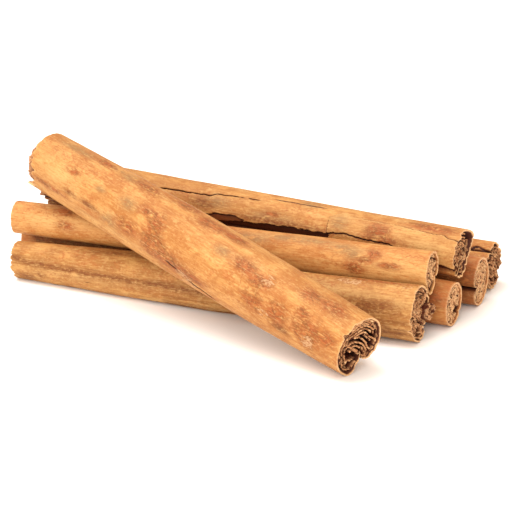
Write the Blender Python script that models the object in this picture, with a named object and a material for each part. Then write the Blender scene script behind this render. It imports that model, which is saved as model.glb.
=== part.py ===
"""Stack of seven cinnamon sticks: four on the table, two in the valleys above them, one laid across.

Each stick is a quill of rolled bark. The sheet rolls in from both edges, so a section through it has two
scrolls side by side, with a groove between them down one side of the stick. Both cut ends show the gaps
between the rolled layers as two spiral slits that start in the groove.

Units are metres, +Z is up, and the sticks run along X. The origin is under the middle of the stack.
"""

import math

import bmesh
import bpy
from mathutils import Vector

MM = 0.001

# Loft of a stick
RING_POINTS = 30            # points round a section
STATIONS = 10               # sections along a stick
RING_BUNCHING = 0.55        # how far the points of a ring crowd towards the groove, 0 to 1
SHARP_ANGLE = math.radians(38)

# Unevenness of the bark, as a share of the stick's radius
SWELL = 0.012               # three soft ribs that wander round the stick
SWELL_RIBS = 3
SWELL_WANDER = 2.2          # radians that a rib wanders over the length

# Slits in the cut ends; widths and radii are shares of the scroll's own radius
SLIT_DEPTH = 5.0 * MM
SLIT_OVERRUN = 2.0 * MM     # how far a cutter stands out of the stick's end
SLIT_TURNS = 1.3            # turns of each scroll
SLIT_STEPS = 14             # straight pieces in a spiral
SLIT_WIDTH = 0.14
EYE_WIDTH = 0.36            # the slit widens to this at the heart of a scroll
EYE_START = 0.7             # share of the spiral after which the slit widens
HEART_RADIUS = 0.25         # where the spiral ends

# Flats that the stack stands on
TABLE_TOUCH = 0.32 * MM     # bark lower than this is pressed flat onto the table

ROUGHNESS = 0.78


class Stick:
    """One quill: its size, where its axis lies, and how it is rolled."""

    def __init__(self, name, colour, left, right, radii, oval, groove, depth, spread, share, slant,
                 bow=0.0, bow_angle=90.0):
        self.name = name                            # node name
        self.colour = colour                        # linear base colour of the bark
        self.left = Vector(left) * MM               # centre of the left end
        self.right = Vector(right) * MM             # centre of the right end
        self.radii = [r * MM for r in radii]        # radius at the left end, the middle and the right end
        self.oval = oval                            # width over height
        self.groove = math.radians(groove)          # where the groove faces: 0 is +Y, 90 is up
        self.depth = depth                          # groove depth as a share of the radius
        self.spread = math.radians(spread)          # half angle that the groove takes up
        self.share = share                          # size of the scroll past the groove, of both together
        self.bow = bow * MM                         # how far the middle stands off a straight line
        self.bow_angle = math.radians(bow_angle)    # which way the middle bows, counted as the groove is
        self.slant = slant * MM                     # how far the cut ends lean

        self.along = (self.right - self.left).normalized()
        self.side = Vector((0, 0, 1)).cross(self.along).normalized()
        self.up = self.along.cross(self.side)

    def radius(self, t):
        """Radius at the share t of the length, on a parabola through the three given radii."""
        left, middle, right = self.radii
        return left * (1 - t) * (1 - 2 * t) + middle * 4 * t * (1 - t) + right * t * (2 * t - 1)

    def centre(self, t):
        """Point of the bowed axis at the share t of the length."""
        off = self.bow * 4 * t * (1 - t)
        turn = self.side * math.cos(self.bow_angle) + self.up * math.sin(self.bow_angle)
        return self.left.lerp(self.right, t) + turn * off


STICKS = (
    Stick("front_stick", (0.62, 0.34, 0.12), left=(-61.2, -1.0, 5.35), right=(60.0, -1.5, 7.9),
          radii=(5.3, 6.65, 7.8), oval=0.86, groove=-42, depth=0.30, spread=17, share=0.62, slant=0.5),
    Stick("second_stick", (0.55, 0.24, 0.09), left=(-65.0, 14.4, 7.5), right=(63.8, 13.8, 6.1),
          radii=(7.4, 6.7, 6.1), oval=1.02, groove=-20, depth=0.12, spread=14, share=0.45, slant=0.4),
    Stick("third_stick", (0.57, 0.26, 0.10), left=(-62.0, 30.0, 7.2), right=(65.1, 32.0, 6.9),
          radii=(7.2, 7.0, 6.9), oval=0.97, groove=186, depth=0.22, spread=17, share=0.5, slant=-0.3),
    Stick("back_stick", (0.58, 0.30, 0.11), left=(-63.0, 46.4, 6.8), right=(64.0, 46.1, 7.1),
          radii=(6.8, 6.9, 7.1), oval=0.98, groove=118, depth=0.20, spread=17, share=0.55, slant=0.4),
    Stick("upper_front_stick", (0.66, 0.33, 0.13), left=(-64.5, 5.0, 15.85), right=(59.9, 7.5, 16.85),
          radii=(4.8, 5.1, 5.5), oval=0.93, groove=-48, depth=0.26, spread=18, share=0.68, slant=0.3),
    Stick("upper_back_stick", (0.60, 0.33, 0.12), left=(-63.4, 22.8, 21.5), right=(62.9, 22.0, 17.6),
          radii=(7.9, 7.4, 7.0), oval=0.97, groove=232, depth=0.26, spread=17, share=0.36, slant=0.6),
    Stick("top_stick", (0.68, 0.38, 0.15), left=(-54.1, 5.8, 33.5), right=(54.3, -29.4, 7.6),
          radii=(8.3, 9.6, 8.4), oval=1.0, groove=-73, depth=0.48, spread=18, share=0.58, slant=0.5),
)


def ring_angles():
    """Angles from the groove at which a section has its points, closer together near the groove."""
    angles = []
    for step in range(RING_POINTS):
        turn = math.tau * step / RING_POINTS
        angles.append(turn - RING_BUNCHING * math.sin(turn))
    return angles


def section_reach(stick, angle, t):
    """Distance from the axis to the bark, at an angle from the groove and a share of the length."""
    from_groove = min(angle, math.tau - angle)
    groove = stick.depth * math.exp(-(from_groove / stick.spread) ** 2)
    swell = SWELL * math.sin(SWELL_RIBS * angle + SWELL_WANDER * t + stick.groove)
    return stick.radius(t) * (1 - groove + swell - SWELL)


def ring(stick, t):
    """Points of the section at the share t of the length."""
    centre = stick.centre(t)
    points = []
    for angle in ring_angles():
        reach = section_reach(stick, angle, t)
        across = reach * math.cos(angle + stick.groove) * stick.oval
        upward = reach * math.sin(angle + stick.groove)
        lean = stick.slant * (2 * t - 1) * upward / stick.radius(t)
        points.append(centre + stick.side * across + stick.up * upward + stick.along * lean)
    return points


def loft(stick):
    """Closed mesh of the stick before its ends are slit, pressed flat where it meets the table."""
    mesh = bmesh.new()
    rings = []
    for station in range(STATIONS):
        verts = []
        for point in ring(stick, station / (STATIONS - 1)):
            if point.z < TABLE_TOUCH:
                point.z = 0.0
            verts.append(mesh.verts.new(point))
        rings.append(verts)
    for first, second in zip(rings, rings[1:]):
        for i in range(RING_POINTS):
            j = (i + 1) % RING_POINTS
            mesh.faces.new((first[i], first[j], second[j], second[i]))
    mesh.faces.new(reversed(rings[0]))
    mesh.faces.new(rings[-1])
    bmesh.ops.recalc_face_normals(mesh, faces=mesh.faces)
    return mesh


def spiral_line(stick, t, turn):
    """Middle line of one scroll's slit at a cut end, as (across, upward, half width) in the section.

    turn is 1 for the scroll past the groove and -1 for the one before it. The line comes in down the
    groove, meets the scroll where the two scrolls touch, and winds in to the scroll's heart.
    """
    whole = stick.radius(t) * 0.97
    share = stick.share if turn > 0 else 1 - stick.share
    scroll = whole * share
    groove_way = Vector((math.cos(stick.groove), math.sin(stick.groove)))
    past_way = Vector((-groove_way.y, groove_way.x)) * turn
    heart = past_way * (whole - scroll) + groove_way * (0.10 * whole)
    line = [(heart - past_way * scroll + groove_way * whole * 1.15, scroll * SLIT_WIDTH / 2)]
    for step in range(SLIT_STEPS + 1):
        part = step / SLIT_STEPS
        angle = math.tau * SLIT_TURNS * part
        reach = scroll * (1 - (1 - HEART_RADIUS) * part)
        point = heart - past_way * reach * math.cos(angle) - groove_way * reach * math.sin(angle)
        widening = (EYE_WIDTH - SLIT_WIDTH) * max(0.0, part - EYE_START) / (1 - EYE_START)
        line.append((point, scroll * (SLIT_WIDTH + widening) / 2))
    return line


def slit_edges(line):
    """The two long edges of a slit, as points either side of its middle line."""
    left, right = [], []
    for i, (point, half) in enumerate(line):
        before = line[max(i - 1, 0)][0]
        after = line[min(i + 1, len(line) - 1)][0]
        heading = (after - before).normalized()
        across = Vector((-heading.y, heading.x)) * half
        left.append(point + across)
        right.append(point - across)
    return left, right


def slit_cutter(stick, t, turn):
    """Closed ribbon that cuts one scroll's slit into the end at t, which is 0 or 1."""
    outward = stick.along if t == 1 else -stick.along
    far = stick.centre(t) + outward * SLIT_OVERRUN
    near = stick.centre(t) - outward * SLIT_DEPTH
    mesh = bmesh.new()
    columns = []
    for edge in slit_edges(spiral_line(stick, t, turn)):
        column = []
        for flat in edge:
            offset = stick.side * flat.x * stick.oval + stick.up * flat.y
            column.append((mesh.verts.new(far + offset), mesh.verts.new(near + offset)))
        columns.append(column)
    left, right = columns
    for i in range(len(left) - 1):
        mesh.faces.new((left[i][0], left[i + 1][0], right[i + 1][0], right[i][0]))
        mesh.faces.new((left[i][1], right[i][1], right[i + 1][1], left[i + 1][1]))
        mesh.faces.new((left[i][0], left[i][1], left[i + 1][1], left[i + 1][0]))
        mesh.faces.new((right[i][0], right[i + 1][0], right[i + 1][1], right[i][1]))
    for i in (0, -1):
        mesh.faces.new((left[i][0], right[i][0], right[i][1], left[i][1]))
    bmesh.ops.recalc_face_normals(mesh, faces=mesh.faces)
    return mesh


def mesh_object(name, mesh):
    """Object in the scene that holds a finished bmesh."""
    data = bpy.data.meshes.new(name)
    mesh.to_mesh(data)
    mesh.free()
    made = bpy.data.objects.new(name, data)
    bpy.context.collection.objects.link(made)
    return made


def bark_material(stick):
    """Dry inner bark in the stick's own tone."""
    material = bpy.data.materials.new(stick.name + "_bark")
    material.use_nodes = True
    shader = material.node_tree.nodes["Principled BSDF"]
    shader.inputs["Base Color"].default_value = (*stick.colour, 1.0)
    shader.inputs["Roughness"].default_value = ROUGHNESS
    shader.inputs["Metallic"].default_value = 0.0
    return material


def cut_slits(quill, stick):
    """Boolean differences for both scrolls at both ends."""
    for end in (0, 1):
        for turn in (1, -1):
            cutter = mesh_object(f"{stick.name}_cut_{end}_{turn}", slit_cutter(stick, end, turn))
            cutter.hide_render = True
            cutter.display_type = "WIRE"
            cut = quill.modifiers.new(cutter.name, "BOOLEAN")
            cut.operation = "DIFFERENCE"
            cut.solver = "EXACT"
            cut.object = cutter


def make_stick(stick):
    """The quill with its groove, slits and bark material."""
    quill = mesh_object(stick.name, loft(stick))
    quill.data.materials.append(bark_material(stick))
    quill.data.shade_smooth()
    quill.data.set_sharp_from_angle(angle=SHARP_ANGLE)
    cut_slits(quill, stick)
    return quill


def centre_on_origin(quills):
    """Move the stack so that its footprint is centred on the origin."""
    points = [vert.co for quill in quills for vert in quill.data.vertices]
    middle_x = (min(p.x for p in points) + max(p.x for p in points)) / 2
    middle_y = (min(p.y for p in points) + max(p.y for p in points)) / 2
    for item in bpy.context.collection.objects:
        item.location = Vector((-middle_x, -middle_y, 0))


def main():
    for old in list(bpy.data.objects):
        bpy.data.objects.remove(old)
    centre_on_origin([make_stick(stick) for stick in STICKS])


main()
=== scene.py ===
import math

import bmesh
import bpy
import numpy as np
from mathutils import Matrix, Vector, noise
from mathutils.bvhtree import BVHTree


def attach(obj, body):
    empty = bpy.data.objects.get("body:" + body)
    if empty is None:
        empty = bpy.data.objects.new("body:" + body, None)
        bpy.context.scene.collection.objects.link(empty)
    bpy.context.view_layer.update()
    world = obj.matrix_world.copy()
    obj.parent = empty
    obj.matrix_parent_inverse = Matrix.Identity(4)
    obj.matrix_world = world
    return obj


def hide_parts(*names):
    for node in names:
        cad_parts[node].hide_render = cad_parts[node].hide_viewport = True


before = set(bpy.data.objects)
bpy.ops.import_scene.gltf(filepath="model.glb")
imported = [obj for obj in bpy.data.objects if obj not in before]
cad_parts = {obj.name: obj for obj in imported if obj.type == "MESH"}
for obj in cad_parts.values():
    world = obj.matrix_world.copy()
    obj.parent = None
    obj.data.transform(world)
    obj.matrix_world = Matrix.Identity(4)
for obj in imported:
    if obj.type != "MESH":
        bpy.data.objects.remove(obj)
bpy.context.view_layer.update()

bl_info = {
    "name": "Cinnamon stack",
    "version": (1, 0, 0),
    "blender": (4, 5, 0),
    "location": "View3D > Sidebar > Cinnamon",
    "description": "Builds the bark and the rolled layers of a stack of true cinnamon quills",
    "category": "Object",
}

MM = 0.001
BODY = "root"
# kinds of marks on the bark; some rust, umber, band and pale marks are painted shade or painted light, the rest
# are stains
STAIN_KINDS = ("rust_and_shade", "olive", "umber_and_shade", "band", "pale", "scab", "inner")


class Roll:
    """How one quill is rolled, broken and stained.

    Places on the bark are a share of the length, 0 at the left end and 1 at the right, and an angle in
    degrees, 0 towards +Y and 90 up. Places in an end are across and up from the quill's axis. Every length
    is in mm.
    """

    def __init__(self, node, groove, share, pitch, sheet, crumple, sunk, recess=3.4, ragged=0.3, seam=1.0,
                 hollow=(0, 0), ruddy=0.5, dark_tone_and_shade=0.0, face=0.5, rows=300, columns=240, left_nicks=(),
                 right_nicks=(), dents=(), cracks=(), flaps=(), stains=None, curls=(), pits=(), sheets=(),
                 stubs=(0.0, 0.0)):
        self.node = node                # packed quill that this bark stands for
        self.groove = math.radians(groove)
        self.share = share              # size of the scroll past the groove, of both scrolls together
        self.pitch = pitch              # spacing of the rolled layers
        self.sheet = sheet              # thickness of a layer
        self.crumple = crumple          # how far the layers wander
        self.sunk = sunk                # how far the shortest layers fall short of the end
        self.recess = recess            # depth of the solid behind the layers
        self.ragged = ragged            # how uneven the bark's cut rim is
        self.seam = seam                # depth of the line where the two scrolls meet
        self.hollow = hollow            # angle and width of an open gap between bark and layers
        self.ruddy = ruddy              # bark tone, 0 olive to 1 reddish
        # the whole bark's darkness is partly the quill's own tone and partly painted shade on quills that lie
        # behind and under the others
        self.dark_tone_and_shade = dark_tone_and_shade                # how dark the whole bark is
        # the cut layers' lightness also thins the painted shade inside the ends and between the layers
        self.face = face                # how light the cut layers are
        self.rows = rows                # mesh rows along the bark
        self.columns = columns          # mesh columns round the bark
        self.left_nicks = left_nicks    # (angle, half angle, depth) of breaks in the rim; a tongue is below 0
        self.right_nicks = right_nicks
        self.dents = dents              # (share, angle, half length, half angle, depth) of hollows
        self.cracks = cracks            # (width, depth, places along it)
        self.flaps = flaps              # (rise, places as share, first angle, last angle) of loose bark
        self.stains = stains or {}      # by kind: spots (share, angle, long, wide) or lines (wide, places)
        self.curls = curls              # (across, up, radius, how proud) of small rolls in the right end
        self.pits = pits                # (across, up, half width, half height) of holes in the right end
        self.stubs = stubs              # how far the layers stand out of the left and right ends
        self.sheets = sheets            # listed layers of the right end, each a line of (across, up)


TOP_SHEETS = (
    ((-6.9, -4.6), (-7.1, -1.5), (-6.9, 1.5), (-5.6, 4.2), (-3.0, 5.9), (0.2, 6.4), (3.2, 5.8), (5.7, 4.1),
     (7.0, 1.9), (7.3, -0.4), (6.8, -2.3)),
    ((-6.3, -3.9), (-6.6, -1.0), (-6.3, 1.7), (-5.1, 3.8), (-2.8, 5.4), (0.2, 5.9), (3.0, 5.3), (5.2, 3.8),
     (6.5, 1.8)),
    ((-5.7, -2.0), (-6.0, 0.3), (-5.6, 2.2), (-4.4, 3.6), (-2.4, 4.8), (0.2, 5.3), (2.6, 4.9), (4.0, 4.3)),
    ((-4.4, 2.6), (-2.2, 4.2), (0.4, 4.7), (2.4, 4.3), (4.1, 3.4), (5.4, 2.1), (6.0, 0.9)),
    ((-3.6, 2.4), (-1.6, 3.6), (0.6, 4.0), (2.4, 3.5), (3.9, 2.5), (4.9, 1.5)),
    ((-2.6, 2.0), (-0.8, 3.0), (1.4, 3.0), (3.2, 1.7), (4.6, 0.5), (6.3, -0.5), (7.0, -1.4)),
    ((1.5, 2.3), (2.6, 1.4), (4.0, 0.2), (4.9, -0.5)),
    ((-4.9, 0.6), (-3.4, 1.9), (-1.2, 2.1), (0.6, 1.4), (2.1, 0.4), (3.3, -0.8), (4.3, -2.2), (5.3, -3.2)),
    ((-4.4, -0.3), (-3.0, 0.6), (-1.0, 0.5), (0.6, 0.0), (2.0, -0.8), (3.2, -1.9), (3.9, -3.2), (3.5, -4.1),
     (2.4, -4.2), (1.7, -3.6), (1.4, -2.8)),
    ((-2.6, -0.5), (-0.8, -0.5), (0.8, -1.2), (2.2, -2.0), (2.7, -3.0)),
    ((-3.4, -1.1), (-1.6, -1.4), (0.2, -2.0), (0.9, -2.7), (0.9, -3.4)),
    ((-3.2, -1.3), (-1.5, -1.8), (0.1, -2.4), (0.6, -3.2)),
    ((-4.9, -0.9), (-4.6, -2.6), (-3.6, -4.0), (-1.6, -4.4), (0.0, -4.3)),
    ((-5.4, -2.8), (-4.9, -4.6), (-3.8, -6.3), (-2.0, -7.1), (-0.6, -6.4), (0.1, -5.0)),
    ((-4.2, -3.9), (-3.5, -4.9), (-3.3, -5.9), (-2.3, -6.5)),
    ((-5.2, -0.4), (-4.2, 0.0), (-3.0, -0.2), (-2.2, -0.7)),
    ((6.4, -2.6), (5.3, -4.0), (3.8, -4.7), (2.2, -4.8)),
)

ROLLS = (
    Roll("top_stick", groove=-73, share=0.58, pitch=0.62, sheet=0.4, crumple=0.42, sunk=0.8, ragged=0.35,
         seam=2.2, ruddy=0.5, face=0.42, rows=335, columns=280, sheets=TOP_SHEETS, stubs=(1.2, 0.0),
         left_nicks=((197, 42, 2.6), (229, 6, 1.4), (247, 7, -2.9), (278, 22, 3.0), (150, 9, 0.5)),
         right_nicks=((147, 5, 0.9), (115, 6, 0.4)),
         dents=((1.0, -50, 22, 24, 1.3), (0.52, 200, 12, 30, 0.35), (0.3, 213, 30, 9, 0.35),
                (0.02, 250, 16, 18, -0.5), (-0.03, 248, 4, 10, -0.4)),
         cracks=((0.3, 0.5, ((0.475, 201), (0.5, 204), (0.53, 207))),
                 (0.25, 0.4, ((0.545, 216), (0.58, 219), (0.6, 221), (0.65, 227)))),
         pits=((5.6, -1.6, 0.9, 0.7), (-2.3, -2.7, 1.0, 0.8), (-2.3, -5.6, 0.8, 0.6),
               (1.9, 1.5, 0.8, 0.35)),
         stains={
             "rust_and_shade": ((-0.01, 249, 3.5, 1.2), (0.08, 200, 7, 0.7), (0.14, 146, 2.2, 0.9),
                      (0.19, 92, 3.5, 1.2), (0.335, 94, 4, 1.5), (0.355, 182, 4, 1.9), (0.39, 138, 3, 1.1),
                      (0.415, 137, 1.1, 1.0), (0.43, 155, 3, 3.2), (0.435, 184, 4, 3.6), (0.45, 80, 4, 2),
                      (0.48, 195, 4.5, 2.6), (0.53, 203, 4.5, 2.2), (0.54, 92, 5, 2), (0.57, 203, 4.5, 1.3),
                      (0.61, 90, 5, 1.5), (0.69, 132, 4, 1.9), (0.745, 143, 3.5, 2.2), (0.755, 179, 4, 2.4),
                      (0.82, 176, 3.5, 2.6), (0.87, 112, 3.5, 2), (0.88, 150, 1.8, 1.7),
                      (0.905, 176, 5, 3.2), (0.925, 110, 4, 2), (0.957, 171, 3, 2)),
             "olive": ((0.1, 97, 7, 1.4), (0.23, 91, 3, 0.9), (0.24, 150, 2, 0.9), (0.28, 93, 3.5, 1.7),
                       (0.295, 191, 3.2, 1.7), (0.33, 145, 3.4, 1.8), (0.62, 130, 3, 1.3)),
             "umber_and_shade": ((0.16, 187, 2.6, 0.7), (0.225, 186, 3.5, 0.7), (0.84, 198, 3, 0.9),
                       (0.45, ((0.4, 150), (0.435, 162), (0.46, 176), (0.49, 190), (0.52, 203)))),
             "pale": ((0.1, 160, 10, 4), (0.27, 213, 13, 1.3), (0.693, 121, 2.2, 1.0),
                      (1.1, ((0.515, 209), (0.541, 214), (0.575, 220)))),
             "scab": ((0.762, 133, 1.8, 1.3), (0.785, 188, 1.7, 0.9), (0.912, 196, 1.8, 1.9),
                      (1.0, ((0.515, 208), (0.541, 213), (0.575, 219)))),
         }),
    Roll("front_stick", groove=-42, share=0.62, pitch=0.46, sheet=0.38, crumple=0.5, sunk=1.0, ragged=0.5,
         seam=1.6, ruddy=0.1, face=0.5,
         left_nicks=((222, 14, 0.9), (170, 8, 0.4)),
         right_nicks=((176, 7, 0.5), (205, 8, 0.9), (-30, 12, 1.2), (-55, 8, 0.8)),
         dents=((0.25, 166, 32, 14, 0.45), (0.9, 160, 20, 22, 0.35), (0.33, 85, 34, 24, -0.8),
                (0.45, 226, 36, 30, -0.9)),
         cracks=((0.22, 0.35, ((0.955, 217), (0.985, 214))), (0.2, 0.3, ((0.19, 205), (0.22, 206))),
                 (0.3, 0.45, ((0.34, 238), (0.42, 234), (0.52, 236), (0.6, 233)))),
         curls=((4.3, -0.7, 2.3, 1.9), (1.6, -5.2, 1.3, 0.4)),
         pits=((4.6, -0.6, 0.7, 1.0), (-4.6, 1.2, 0.5, 1.0), (-4.7, -1.6, 0.5, 0.9), (-3.4, -4.2, 0.7, 0.6),
               (-0.8, -5.3, 0.9, 0.5), (-0.8, 2.9, 0.7, 0.5), (1.2, 0.6, 0.4, 0.6), (-1.9, -1.4, 0.4, 0.5),
               (2.8, 4.0, 0.8, 0.4)),
         stains={
             "rust_and_shade": ((0.266, 103, 1.8, 0.8), (0.88, 89, 12, 0.8)),
             "umber_and_shade": ((0.045, 222, 3, 1.1), (0.08, 212, 1.8, 1.2), (0.9, 157, 9, 2.4), (0.9, 216, 12, 1.0),
                       (0.937, 202, 1.1, 0.7),
                       (0.9, ((0.0, 152), (0.045, 165), (0.136, 175), (0.215, 177), (0.293, 179),
                              (0.52, 183))), (0.4, ((0.92, 204), (0.99, 206)))),
             "band": ((2.2, ((0.0, 152), (0.045, 166), (0.136, 176), (0.215, 178), (0.293, 180),
                             (0.52, 184))), (2.6, ((0.78, 172), (0.93, 190), (1.0, 196))),
                      (1.0, ((0.2, 104), (0.3, 100), (0.42, 104))),
                      # this wide band along the lower side is painted shade, as that side faces away from the
                      # light
                      (2.8, ((0.4, 212), (0.6, 208), (1.0, 208)))),
             "pale": ((0.2, 190, 18, 1.3), (0.8, 130, 12, 1.4), (0.97, 143, 3, 1.2),
                      (0.7, ((0.34, 228), (0.42, 224), (0.52, 226), (0.6, 223)))),
             "scab": ((0.848, 102, 3.6, 0.9), (0.978, 102, 1.5, 0.6)),
         }),
    Roll("upper_front_stick", groove=-48, share=0.68, pitch=0.5, sheet=0.42, crumple=0.3, sunk=0.5,
         recess=2.0, ragged=0.15, seam=0.9, ruddy=0.85, face=0.92,
         dents=((1.0, -25, 14, 26, 0.5), (1.0, -102, 6, 24, -1.2), (0.15, -128, 40, 26, -0.35)),
         pits=((-1.6, -4.2, 1.1, 0.8), (2.9, 2.1, 0.9, 0.5), (3.2, 0.4, 0.8, 0.45), (2.0, -0.6, 1.0, 0.5),
               (2.8, -2.1, 0.9, 0.4), (-1.2, 1.6, 0.6, 0.4), (0.8, 3.4, 0.8, 0.3), (-2.4, -1.6, 0.7, 0.4)),
         stains={
             "rust_and_shade": ((0.135, 122, 3.4, 1.3), (0.142, 173, 2.4, 1.2), (0.3, 150, 8, 1.6),
                      (0.5, 180, 14, 1.4), (0.837, 184, 2.6, 1.8), (0.862, 157, 2.2, 1.1),
                      (0.877, 132, 2, 1.4), (0.915, 163, 3, 0.8)),
             "olive": ((0.58, 127, 7, 1.4), (0.7, 110, 12, 1.3), (0.81, 124, 5, 1.5), (0.832, 140, 2, 1.4)),
             # the pale spot low near the right end and the pale line along the lower side are painted light on
             # sides that face down
             "pale": ((0.1, 160, 12, 3), (0.93, 190, 12, 5), (2.4, ((0.3, 208), (1.02, 210)))),
         }),
    Roll("upper_back_stick", groove=232, share=0.36, pitch=0.5, sheet=0.36, crumple=0.35, sunk=1.1,
         ragged=0.5, seam=2.4, hollow=(15, 0.6), ruddy=0.35, face=0.5, rows=335, columns=280,
         stubs=(0.8, 0.0),
         left_nicks=((168, 48, 3.6), (226, 20, 1.4), (206, 6, 1.0)),
         right_nicks=((150, 5, 0.5), (120, 12, -0.5), (42, 40, -1.0)),
         dents=((1.0, -38, 30, 38, 1.6), (0.55, 150, 20, 14, 0.25), (1.0, 228, 14, 18, -1.7)),
         cracks=((0.15, 0.7, ((0.29, 130), (0.34, 129), (0.375, 128), (0.42, 126), (0.435, 119),
                              (0.49, 115), (0.545, 115))), (0.25, 0.5, ((0.985, 131), (1.01, 135))),
                 (0.16, 0.2, ((0.56, 104), (0.7, 103))), (0.35, 0.8, ((-0.03, 199), (0.06, 203))),
                 (0.3, 0.7, ((-0.03, 216), (0.07, 221)))),
         flaps=((-1.0, ((0.38, 176, 194), (0.433, 166, 188), (0.473, 164, 180), (0.512, 172, 176))),
                (-2.6, ((0.4, 194, 216), (0.44, 186, 216), (0.473, 179, 216), (0.512, 174, 216),
                        (0.576, 169, 216), (0.647, 167, 216), (0.712, 167, 216))),
                (0.45, ((0.708, 130, 166), (0.718, 119, 163), (0.75, 119, 160), (0.79, 122, 165),
                        (0.85, 120, 165), (0.89, 124, 178), (0.955, 126, 192), (1.01, 138, 204))),
                (-1.8, ((0.9, 192, 214), (0.966, 194, 213), (1.01, 204, 212)))),
         pits=((2.9, 2.7, 1.3, 2.8), (-3.0, -5.6, 1.4, 0.6), (-3.4, 1.6, 0.4, 1.0), (-0.6, -0.4, 0.5, 0.9),
               (-1.8, 4.2, 0.8, 0.4)),
         stains={
             "rust_and_shade": ((0.575, 146, 2, 0.6), (0.822, 146, 3.5, 2.4), (0.83, 160, 5, 1.0),
                      (0.93, 108, 7, 1.4), (0.955, 238, 10, 3.0)),
             "olive": ((0.44, 140, 4, 1.6), (0.578, 153, 6, 1.6), (0.652, 97, 2.6, 1.5),
                       (0.733, 139, 2.6, 2.0)),
             # the first dark spot, low at the left end, is painted shade where the top quill overhangs
             "umber_and_shade": ((0.04, 195, 7, 9), (0.405, 150, 3.5, 1.6), (0.6, 163, 14, 0.9)),
             "pale": ((0.435, 119, 1.2, 0.5), (0.93, 165, 8, 3)),
         }),
    Roll("second_stick", groove=-40, share=0.45, pitch=0.42, sheet=0.4, crumple=0.16, sunk=0.25, recess=1.8,
         ragged=0.08, seam=0.9, ruddy=0.95, dark_tone_and_shade=0.5, face=0.95, rows=260, columns=220,
         dents=((0.5, -20, 200, 14, -0.6),),
         pits=((2.6, -2.4, 1.7, 0.9), (-2.2, -4.4, 0.8, 0.35), (-1.2, 2.6, 0.5, 0.3),
               (-2.4, -0.6, 0.4, 0.3)),
         stains={
             "rust_and_shade": ((0.3, 100, 9, 2), (0.7, 60, 12, 2), (0.95, 150, 6, 2.5)),
             # the dark line along the front is painted shade in the narrow gap between the quills in front
             "umber_and_shade": ((2.6, ((0.03, 163), (0.4, 160), (0.72, 160))),),
         }),
    Roll("third_stick", groove=186, share=0.5, pitch=0.42, sheet=0.4, crumple=0.16, sunk=0.25, recess=1.8,
         ragged=0.12, seam=1.6, ruddy=1.0, dark_tone_and_shade=0.6, face=0.95, rows=260, columns=220,
         # the sunk strip where the two scrolls meet gets painted shade
         flaps=((-1.9, ((0.03, 172, 198), (0.1, 160, 204), (0.6, 166, 200), (0.84, 182, 190))),),
         pits=((-3.0, -4.5, 0.9, 0.5), (-4.6, 0.2, 0.7, 0.25)),
         stains={
             # the wide dark lines low on the front near the right end are painted shade on the side that lies
             # in shade
             "rust_and_shade": ((0.4, 60, 12, 2), (0.97, 140, 5, 2), (5.0, ((0.72, 180), (1.01, 172)))),
             "olive": ((0.7, 70, 8, 1.4),),
             "umber_and_shade": ((2.2, ((0.7, 180), (1.01, 176))),),
             "band": ((3.0, ((0.75, 184), (1.01, 184))),),
         }),
    Roll("back_stick", groove=118, share=0.55, pitch=0.85, sheet=0.5, crumple=0.6, sunk=0.9, ragged=0.6,
         seam=1.0, ruddy=0.45, face=0.42, rows=260, columns=220, stubs=(0.0, 0.5),
         right_nicks=((-35, 55, 0.9), (150, 9, 0.5)),
         dents=((1.0, 48, 14, 30, 1.2),),
         cracks=((0.26, 0.5, ((0.91, 131), (0.945, 127), (0.958, 113), (0.97, 109), (0.984, 116),
                              (1.03, 126))),),
         stains={
             "rust_and_shade": ((0.3, 20, 12, 2), (0.8, 90, 6, 1.4)),
             "olive": ((0.6, 40, 9, 1.5),),
         }),
)


# ---------------------------------------------------------------- small helpers

def linear(hexcode):
    """Linear RGBA of an sRGB hex colour."""
    values = []
    for i in (1, 3, 5):
        c = int(hexcode[i:i + 2], 16) / 255
        values.append(c / 12.92 if c <= 0.04045 else ((c + 0.055) / 1.055) ** 2.4)
    return (*values, 1.0)


def mixed(first, second, share):
    """Colour between two linear colours."""
    return tuple(a + (b - a) * share for a, b in zip(first, second))


def add(tree, kind, inputs=None, **settings):
    """Add a node with its settings; inputs maps a socket's name or number to a value or another output."""
    made = tree.nodes.new(kind)
    for key, value in settings.items():
        setattr(made, key, value)
    for key, value in (inputs or {}).items():
        if isinstance(value, bpy.types.NodeSocket):
            tree.links.new(value, made.inputs[key])
        else:
            made.inputs[key].default_value = value
    return made


def smooth_step(x):
    """0 below 0, 1 above 1, and an S between."""
    x = np.clip(x, 0.0, 1.0)
    return x * x * (3 - 2 * x)


def wander(values, seed):
    """Smooth noise from about -1 to 1, one number for each value along a line."""
    flat = [noise.fractal(Vector((v, seed * 7.31, 0.5)), 1.0, 2.0, 3) for v in np.ravel(values)]
    return np.reshape(flat, np.shape(values))


def turn_between(angle, middle):
    """Signed angle from middle, between -pi and pi."""
    return np.mod(angle - middle + math.pi, math.tau) - math.pi


def mesh_object(name, points, faces, edges=()):
    """Object at the origin with a mesh of these points, faces and edges."""
    data = bpy.data.meshes.new(name)
    data.from_pydata(points, edges, faces)
    data.update()
    made = bpy.data.objects.new(name, data)
    bpy.context.scene.collection.objects.link(made)
    return made


def store(data, name, kind, values):
    """Store one value for each point of a mesh: a FLOAT, or a FLOAT_VECTOR."""
    attribute = data.attributes.new(name, kind, "POINT")
    field = "vector" if kind == "FLOAT_VECTOR" else "value"
    attribute.data.foreach_set(field, np.ravel(values).astype(np.float32))


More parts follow.
